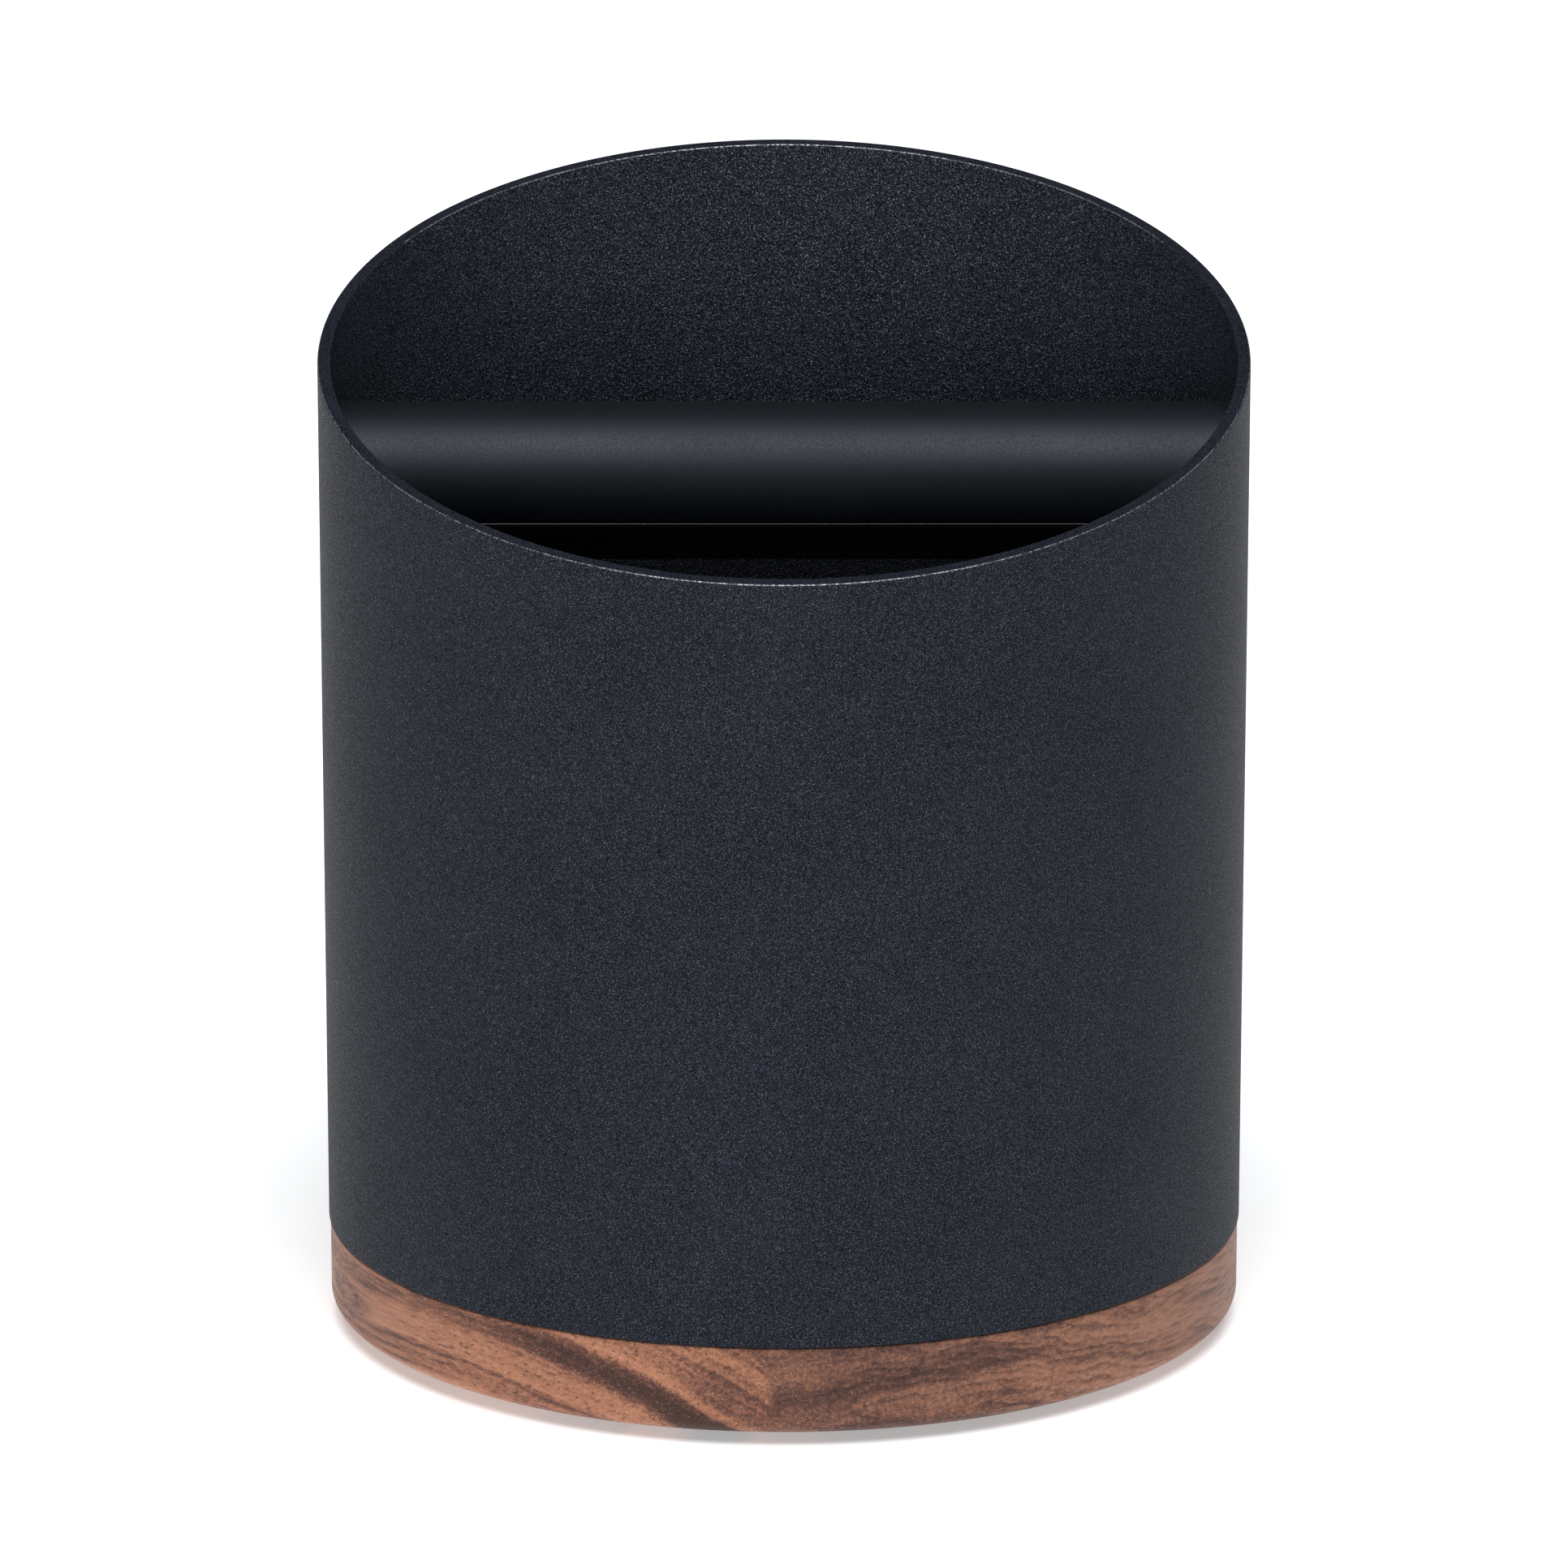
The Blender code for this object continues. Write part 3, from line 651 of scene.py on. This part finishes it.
def make_tube():
    """Slant-cut tube with small rounded edges.

    The rim's outer edge has bright worn specks all round, partly a painted highlight, and its inner
    edge has them at the back only, where they are a painted highlight.
    """
    radius = TUBE_HIGH.x
    profile = [(radius, RIM_MID_HEIGHT), (radius, TUBE_LOW.z),
               (TUBE_INNER, TUBE_LOW.z), (TUBE_INNER, RIM_MID_HEIGHT)]
    bm = turned(profile, FINE)
    for vert in bm.verts:
        if vert.co.z > RIM_MID_HEIGHT - WELD:
            vert.co.z += vert.co.y * math.tan(RIM_TILT)
    coats = [COAT, EDGE_WEAR_AND_HIGHLIGHT, INSIDE_PAINTED_LIGHT_AND_SHADE, RIM]
    tube = add_object("powder_coated_tube", to_mesh("powder_coated_tube", bm, coats))
    round_edges(tube, TUBE_EDGE_ROUND, 6)
    bake_modifiers(tube)
    margin = 0.05 * TUBE_EDGE_ROUND
    strip = 0.45 * TUBE_EDGE_ROUND
    for face in tube.data.polygons:
        centre = face.center
        reach = math.hypot(centre.x, centre.y)
        depth = (RIM_MID_HEIGHT + centre.y * math.tan(RIM_TILT) - centre.z) * math.cos(RIM_TILT)
        # A painted highlight: the inner edge gets the bright edge specks only at the back, where it
        # catches the light.
        painted_highlight_inside = reach < TUBE_INNER + strip and centre.y > 0.5 * radius
        # Inside faces take the lighter copy of the coat: painted light, with painted shade lower down.
        if reach < TUBE_INNER + margin:
            face.material_index = coats.index(INSIDE_PAINTED_LIGHT_AND_SHADE)
        elif depth < margin:
            face.material_index = coats.index(RIM)
        elif depth < strip and (painted_highlight_inside or reach > radius - strip):
            face.material_index = coats.index(EDGE_WEAR_AND_HIGHLIGHT)
    part_of(tube, "box", "powder_coat", "body_tube")


def make_floor():
    """Floor disc, and the coated weld fillet where it meets the wall."""
    radius = FLOOR_HIGH.x
    # The floor and its weld fillet take the darker copy of the coat: painted shade.
    disc = turned([(radius, FLOOR_HIGH.z), (radius, FLOOR_LOW.z)], FINE, True)
    floor = add_object("coated_floor", to_mesh("coated_floor", disc, [FLOOR_COAT_PAINTED_SHADE]))
    round_edges(floor, 0.2 * MM, 2)
    part_of(floor, "box", "powder_coat", "floor_plate")
    leg = 1.6 * MM
    clear = 0.02 * MM
    corner = (TUBE_INNER - leg - clear, FLOOR_HIGH.z + leg + clear)
    profile = arc(corner, leg, 0.0, -math.pi / 2, 8)
    profile.append((TUBE_INNER - clear, FLOOR_HIGH.z + clear))
    fillet = add_object("floor_weld_fillet",
                        to_mesh("floor_weld_fillet", turned(profile, FINE // 2), [FLOOR_COAT_PAINTED_SHADE]))
    smooth_faces(fillet)
    part_of(fillet, "box", "powder_coat")


# ------------------------------------------------------------------- the base

def fastening_places():
    """Centres of the four base fastenings, in plan, as the frame has them."""
    for number in range(1, 5):
        low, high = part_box(f"base_screw_{number}")
        yield number, (low.x + high.x) / 2, (low.y + high.y) / 2


def make_walnut_base():
    """Turned base: spigot, shoulder, rounded foot, ring groove and counterbored holes."""
    radius = BASE_HIGH.x
    spigot = TUBE_INNER - 0.4 * MM
    edge = 0.4 * MM
    soft = 0.25 * MM
    steps = 24
    groove_top = RING_HIGH.z + GROOVE_GAP
    shoulder = TUBE_LOW.z - 0.06 * MM
    profile = [(spigot - edge, BASE_HIGH.z), (spigot, BASE_HIGH.z - edge), (spigot, shoulder)]
    profile += arc((radius - edge, shoulder - edge), edge, math.pi / 2, 0.0, 4)
    for i in range(steps + 1):
        angle = math.pi / 2 * i / steps
        out = BASE_ROUND_WIDTH * (1 - math.cos(angle) ** (2 / BASE_ROUND_POWER))
        down = BASE_ROUND_HEIGHT * math.sin(angle) ** (2 / BASE_ROUND_POWER)
        profile.append((radius - out, BASE_LOW.z + BASE_ROUND_HEIGHT - down))
    outer = RING_HIGH.x + GROOVE_GAP
    inner = RING_HIGH.x - RING_WIDTH - GROOVE_GAP
    profile += [(outer + soft, BASE_LOW.z), (outer, BASE_LOW.z + soft), (outer, groove_top),
                (inner, groove_top), (inner, BASE_LOW.z + soft), (inner - soft, BASE_LOW.z)]
    base = add_object("turned_walnut_base",
                      to_mesh("turned_walnut_base", turned(profile, FINE, True), [WOOD]))
    beyond = 5.0 * MM
    chamfer = 0.5 * MM
    hole = [(POCKET_RADIUS, BASE_HIGH.z + beyond), (POCKET_RADIUS, POCKET_FLOOR),
            (BORE_RADIUS, POCKET_FLOOR), (BORE_RADIUS, COUNTERBORE_TOP),
            (COUNTERBORE_RADIUS, COUNTERBORE_TOP), (COUNTERBORE_RADIUS, BASE_LOW.z + chamfer),
            (COUNTERBORE_RADIUS + chamfer + beyond, BASE_LOW.z - beyond)]
    for number, x, y in fastening_places():
        combine(base, "DIFFERENCE", turned(hole, SMALL, True), (x, y, 0))
    smooth_faces(base, 40)
    part_of(base, "box", "walnut", "walnut_base")


def make_antislip_ring():
    """Silicone ring with two shallow grooves in the face that meets the table."""
    outer = RING_HIGH.x
    inner = outer - RING_WIDTH
    edge = 0.5 * MM
    groove = 0.5 * MM
    depth = 0.3 * MM
    profile = [(outer, RING_HIGH.z)]
    profile += arc((outer - edge, edge), edge, 0.0, -math.pi / 2, 4)
    for i in (2, 1):
        middle = inner + RING_WIDTH * i / 3
        profile += [(middle + groove, 0.0), (middle + groove / 2, depth),
                    (middle - groove / 2, depth), (middle - groove, 0.0)]
    profile += arc((inner + edge, edge), edge, -math.pi / 2, -math.pi, 4)
    profile.append((inner, RING_HIGH.z))
    ring = add_object("grooved_antislip_ring",
                      to_mesh("grooved_antislip_ring", turned(profile, FINE // 2), [RUBBER]))
    smooth_faces(ring)
    part_of(ring, "box", "black_silicone", "antislip_ring")


def socket_screw(name, profile, socket_depth):
    """A turned screw, head down, with a hexagon socket sunk in its head."""
    screw = add_object(name, to_mesh(name, turned(profile, SMALL, True), [STEEL]))
    head = profile[-1][1]
    hexagon = bmesh.new()
    bmesh.ops.create_cone(hexagon, cap_ends=True, segments=6, radius1=SOCKET_RADIUS,
                          radius2=SOCKET_RADIUS, depth=2 * socket_depth)
    bmesh.ops.recalc_face_normals(hexagon, faces=hexagon.faces)
    combine(screw, "DIFFERENCE", hexagon, (0, 0, head))
    smooth_faces(screw, 30)
    return screw


def threaded_shank(top, bottom):
    """Profile points of a shank with fine ridges, from the tip down to the head."""
    root = SCREW_RADIUS - 0.64 * THREAD_PITCH
    points = [(root, top)]
    for i in range(int((top - bottom) / THREAD_PITCH)):
        crest = top - (i + 0.5) * THREAD_PITCH
        points += [(SCREW_RADIUS, crest), (root, crest - 0.5 * THREAD_PITCH)]
    points.append((SCREW_RADIUS, bottom))
    return points


def make_base_fastenings():
    """Button-head screws and washers in the counterbores, bosses above them."""
    head_radius = (BASE_SCREW_HIGH.x - BASE_SCREW_LOW.x) / 2
    head_top = WASHER_LOW.z - 0.3 * MM
    head_low = BASE_SCREW_LOW.z
    side = 0.5 * MM
    flat = 2.1 * MM
    steps = 8
    profile = threaded_shank(BASE_SCREW_HIGH.z, head_top)
    profile += [(head_radius, head_top), (head_radius, head_top - side)]
    fall = head_top - side - head_low
    for i in range(1, steps + 1):
        angle = math.pi / 2 * i / steps
        profile.append((flat + (head_radius - flat) * math.cos(angle),
                        head_top - side - fall * math.sin(angle)))
    pattern = socket_screw("button_head_screw_1", profile, 1.4 * MM)
    washer_radius = (WASHER_HIGH.x - WASHER_LOW.x) / 2
    washer = to_mesh("plain_washer", turned(
        [(washer_radius, WASHER_HIGH.z), (washer_radius, WASHER_LOW.z),
         (BORE_RADIUS, WASHER_LOW.z), (BORE_RADIUS, WASHER_HIGH.z)], SMALL), [STEEL])
    for number, x, y in fastening_places():
        screw = pattern if number == 1 else add_object(f"button_head_screw_{number}", pattern.data)
        screw.location = (x, y, 0)
        part_of(screw, "box", "stainless_steel", f"base_screw_{number}")
        plain = add_object(f"plain_washer_{number}", washer, (x, y, 0))
        round_edges(plain, 0.12 * MM, 2)
        part_of(plain, "box", "stainless_steel", f"base_washer_{number}")
        dress_node(f"threaded_boss_{number}", STEEL)


# --------------------------------------------------------------- the brackets

def make_hanger(word, side):
    """Bent strap with rounded edges and its silicone boot."""
    outer_face = HANGER_HIGH.x
    bend_outer = HANGER_BEND_INNER + HANGER_THICKNESS
    bend = (outer_face - bend_outer, HANGER_HIGH.z - bend_outer)
    outline = [(outer_face, HANGER_LOW.z)]
    outline += arc(bend, bend_outer, 0.0, math.pi / 2, 12)
    outline += [(HANGER_LOW.x, HANGER_HIGH.z), (HANGER_LOW.x, HANGER_HIGH.z - HANGER_THICKNESS)]
    outline += arc(bend, HANGER_BEND_INNER, math.pi / 2, 0.0, 6)
    outline.append((outer_face - HANGER_THICKNESS, HANGER_LOW.z))
    outline = [(side * x, z) for x, z in outline]
    strap = add_object(f"bent_bracket_{word}", to_mesh(
        f"bent_bracket_{word}", extruded(outline, HANGER_LOW.y, HANGER_HIGH.y, along_y), [COAT, EDGE_WEAR_AND_HIGHLIGHT]))
    # The strap's rounded edges take the edge coat, with its worn specks and painted highlight.
    round_edges(strap, 0.3 * MM, 3, 1)
    part_of(strap, "box", "powder_coat", f"bar_hanger_{word}")
    boot = add_object(f"silicone_boot_{word}", to_mesh(f"silicone_boot_{word}", box(
        (side * BOOT_LOW.x, BOOT_LOW.y, BOOT_LOW.z),
        (side * BOOT_HIGH.x, BOOT_HIGH.y, BOOT_HIGH.z)), [RUBBER]))
    wall = 1.0 * MM
    combine(boot, "DIFFERENCE", box(
        (side * (BOOT_LOW.x + wall), BOOT_LOW.y + wall, BOOT_LOW.z + wall),
        (side * (BOOT_HIGH.x + wall), BOOT_HIGH.y - wall, BOOT_HIGH.z - wall)))
    round_edges(boot, 0.35 * MM, 3)
    boot.data.shade_smooth()
    part_of(boot, "box", "black_silicone", f"hanger_boot_{word}")


# --------------------------------------------------------------- the knock bar

def keel_outline():
    """Section of the hard bar about its axis: slim under the sleeve, full width below its lips."""
    back = -BAR_SEAM_ANGLE
    front = math.pi + BAR_SEAM_ANGLE
    return (arc((0, 0), BAR_CORE_RADIUS, back, front, 48)
            + arc((0, 0), BAR_KEEL_RADIUS, front, 2 * math.pi + back, 32))


def end_trim():
    """Cylinder that gives the bar's ends the curve of the tube's inner wall."""
    half = 40.0 * MM
    return turned([(BAR_END_RADIUS, BAR_HEIGHT + half), (BAR_END_RADIUS, BAR_HEIGHT - half)],
                  FINE, True)


def lifted(outline):
    """Move a section from the bar's axis to its height in the box."""
    return [(y, z + BAR_HEIGHT) for y, z in outline]


def make_sleeve():
    """Silicone cover: a C-shaped section with rounded lips, ends curved to the wall."""
    inner = BAR_CORE_RADIUS + SLEEVE_GAP
    relief = SLEEVE_GAP / inner
    back = -BAR_SEAM_ANGLE + relief
    front = math.pi + BAR_SEAM_ANGLE - relief
    outline = arc((0, 0), BAR_SLEEVE_RADIUS, back, front, 96)
    outline += arc((0, 0), inner, front, back, 72)
    sleeve = add_object("silicone_bar_sleeve", to_mesh(
        "silicone_bar_sleeve", extruded(lifted(outline), -TUBE_HIGH.x, TUBE_HIGH.x, along_x), [SLEEVE]))
    combine(sleeve, "INTERSECT", end_trim())
    round_edges(sleeve, 0.3 * MM, 3)
    part_of(sleeve, "knock_bar", "bar_silicone", "bar_sleeve")


def make_core():
    """Anodised extrusion; its upper corners are broken by a small chamfer."""
    core = add_object("anodised_bar_core", to_mesh(
        "anodised_bar_core", extruded(lifted(keel_outline()), CORE_LOW.x, CORE_HIGH.x, along_x),
        [ANODISED]))
    bore = turned([(BORE_RADIUS, CORE_HIGH.x + BORE_RADIUS), (BORE_RADIUS, CORE_LOW.x - BORE_RADIUS)],
                  SMALL, True)
    combine(core, "DIFFERENCE", bore, (0, 0, BAR_HEIGHT - END_SCREW_DROP), (0, math.pi / 2, 0))
    round_edges(core, 0.15 * MM, 2)
    part_of(core, "knock_bar", "black_anodised", "bar_core")


def make_end_block(word, side):
    """Moulded end of the bar, slotted from below, with the countersink for its screw."""
    block = add_object(f"slotted_bar_end_{word}", to_mesh(
        f"slotted_bar_end_{word}",
        extruded(lifted(keel_outline()), side * BLOCK_LOW.x, side * TUBE_HIGH.x, along_x), [NYLON]))
    combine(block, "INTERSECT", end_trim())
    combine(block, "DIFFERENCE", box(
        (side * SLOT_INNER_END, -SLOT_HALF_WIDTH, BAR_HEIGHT - 2 * BAR_KEEL_RADIUS),
        (side * (TUBE_HIGH.x + TUBE_WALL), SLOT_HALF_WIDTH, BAR_HEIGHT + SLOT_ROOF)))
    gap = 0.3 * MM
    seat_radius = END_SCREW_HEAD_RADIUS + gap
    through = 8.0 * MM
    beyond = 1.0 * MM
    seat = [(BORE_RADIUS, through), (BORE_RADIUS, END_SCREW_HEAD_HEIGHT + gap),
            (seat_radius, gap), (seat_radius, -beyond)]
    combine(block, "DIFFERENCE", turned(seat, SMALL, True),
            (side * SLOT_INNER_END, 0, BAR_HEIGHT - END_SCREW_DROP), (0, -side * math.pi / 2, 0))
    round_edges(block, 0.25 * MM, 3)
    part_of(block, "knock_bar", "black_nylon", f"bar_end_block_{word}")


def make_end_screw(word, side):
    """Countersunk socket screw through an end block into the core."""
    head = END_SCREW_HEAD_RADIUS
    rim = 0.3 * MM
    corner = 0.05 * MM
    neck = 0.2 * MM
    profile = threaded_shank(END_SCREW_HIGH.x - END_SCREW_LOW.x, END_SCREW_HEAD_HEIGHT + neck)
    profile += [(SCREW_RADIUS, END_SCREW_HEAD_HEIGHT), (head, rim), (head, corner),
                (head - corner, 0.0)]
    screw = socket_screw(f"countersunk_end_screw_{word}", profile, 1.3 * MM)
    screw.location = (side * SLOT_INNER_END, 0, BAR_HEIGHT - END_SCREW_DROP)
    screw.rotation_euler = (0, -side * math.pi / 2, 0)
    part_of(screw, "knock_bar", "stainless_steel", f"bar_end_screw_{word}")


# --------------------------------------------------------------------- studio

def make_camera():
    """Long lens, a little above the box, looking down on it from the front."""
    target_height = 82.5 * MM
    distance = 1.2952
    elevation = math.radians(14.67)
    lens = bpy.data.cameras.new("camera")
    lens.sensor_width = 36.0
    lens.lens = 195.5
    camera = bpy.data.objects.new("camera", lens)
    camera.location = (0.0, -distance * math.cos(elevation),
                       target_height + distance * math.sin(elevation))
    camera.rotation_euler = (math.pi / 2 - elevation, 0.0, 0.0)
    bpy.context.scene.collection.objects.link(camera)
    bpy.context.scene.camera = camera


def add_softbox(name, size, azimuth, elevation, distance, power):
    """Rectangular light aimed at the box; azimuth 0 is in front, 90 to the right."""
    aim_height = 90.0 * MM
    light = bpy.data.lights.new(name, "AREA")
    light.shape = "RECTANGLE"
    light.size, light.size_y = size
    light.energy = power
    lamp = bpy.data.objects.new(name, light)
    a = math.radians(azimuth)
    e = math.radians(elevation)
    offset = (math.sin(a) * math.cos(e), -math.cos(a) * math.cos(e), math.sin(e))
    lamp.location = (distance * offset[0], distance * offset[1], aim_height + distance * offset[2])
    lamp.rotation_euler = (math.pi / 2 - e, 0.0, a)
    bpy.context.scene.collection.objects.link(lamp)


def make_studio():
    """Pale floor, dim surroundings, a broad light overhead and two weak fills from the front.

    The floor lies a hair below the anti-slip ring, so that no two faces share a plane.
    """
    bm = bmesh.new()
    bmesh.ops.create_circle(bm, cap_ends=True, segments=96, radius=6.0)
    floor = add_object("studio_floor", to_mesh("studio_floor", bm, [studio_white("studio_white")]),
                       (0.0, 0.0, -0.05 * MM))
    world = bpy.data.worlds.new("studio")
    world.use_nodes = True
    background = world.node_tree.nodes["Background"]
    background.inputs["Color"].default_value = (0.97, 0.985, 1.0, 1.0)
    background.inputs["Strength"].default_value = 0.07
    bpy.context.scene.world = world
    bpy.context.scene.view_settings.view_transform = "Standard"
    key = bpy.data.lights.new("overhead_key", "SUN")
    key.energy = 3.2
    key.angle = math.radians(42)
    lamp = bpy.data.objects.new("overhead_key", key)
    lamp.rotation_euler = (math.radians(24), 0.0, math.radians(2))
    bpy.context.scene.collection.objects.link(lamp)
    add_softbox("left_fill", (0.7, 0.5), -28.0, 8.0, 1.6, 2.1)
    add_softbox("front_fill", (1.6, 0.3), 10.0, 4.0, 1.8, 0.5)


# ---------------------------------------------------------------------- build

make_tube()
make_floor()
make_walnut_base()
make_antislip_ring()
make_base_fastenings()
for end, direction in (("left", -1), ("right", 1)):
    make_hanger(end, direction)
    make_end_block(end, direction)
    make_end_screw(end, direction)
make_sleeve()
make_core()
make_camera()
make_studio()
